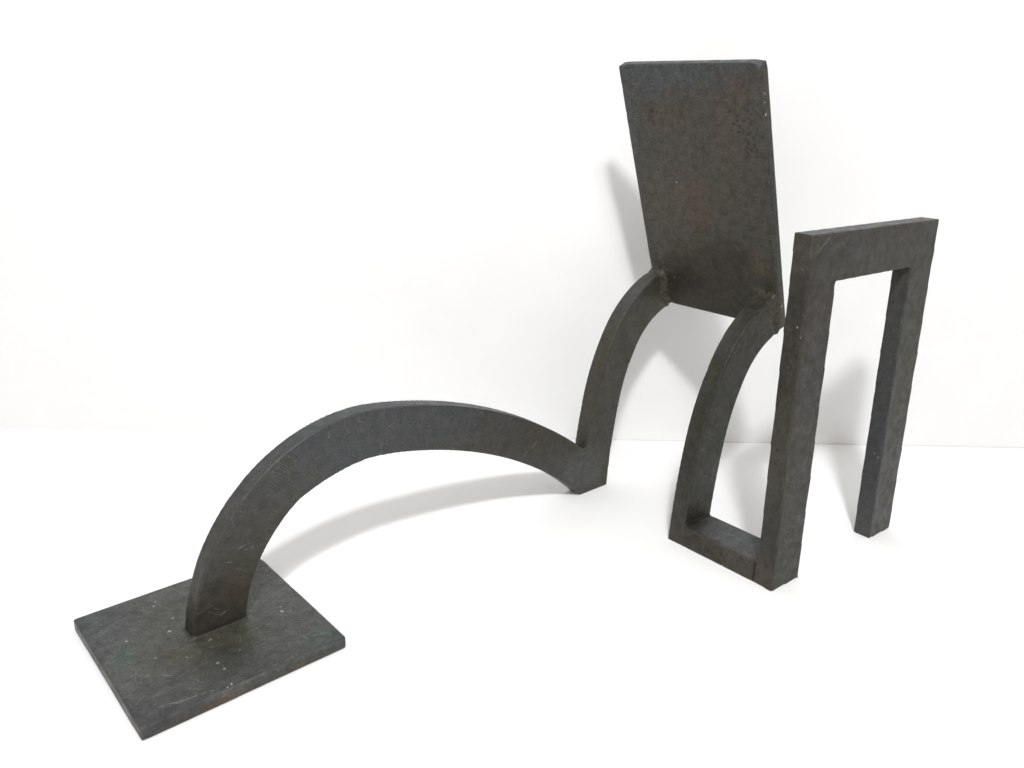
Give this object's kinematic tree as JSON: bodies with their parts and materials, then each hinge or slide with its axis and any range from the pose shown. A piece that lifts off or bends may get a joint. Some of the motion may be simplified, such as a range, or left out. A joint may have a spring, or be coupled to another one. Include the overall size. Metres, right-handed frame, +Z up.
{
  "type": "abstract desk sculpture",
  "caption": "Free-standing abstract sculpture of welded flat bronze bar: a low arch, two curved risers, a leaning panel and a post-and-lintel frame.",
  "frame": {"origin": "on the floor, under the middle of the whole sculpture's box", "axes": "+X along the arch from the base plate to the panel and portal, +Y from the portal side to the arch side, +Z up"},
  "size_m": [0.4262, 0.2064, 0.2751],
  "materials": {
    "bar_patina": "dark brown-grey bronze patina, semi-matt",
    "plate_patina": "blue-grey bronze patina, scratched, with green scuffs",
    "panel_patina": "mottled brown bronze patina with casting pits",
    "weld_metal": "patinated filler metal, ground flush or left lumpy"
  },
  "bodies": {
    "root": {"base_plate": "plate_patina", "arch_bar": "bar_patina", "far_riser": "bar_patina", "near_riser": "bar_patina", "upright_panel": "panel_patina", "foot_bar": "bar_patina", "near_post": "bar_patina", "far_post": "bar_patina", "lintel_bar": "bar_patina", "arch_base_weld": "weld_metal", "arch_riser_weld": "weld_metal", "far_riser_panel_weld": "weld_metal", "near_riser_panel_weld": "weld_metal", "riser_foot_bar_weld": "weld_metal", "foot_bar_post_weld": "weld_metal", "near_post_lintel_weld": "weld_metal", "far_post_lintel_weld": "weld_metal"}
  },
  "joints": []
}
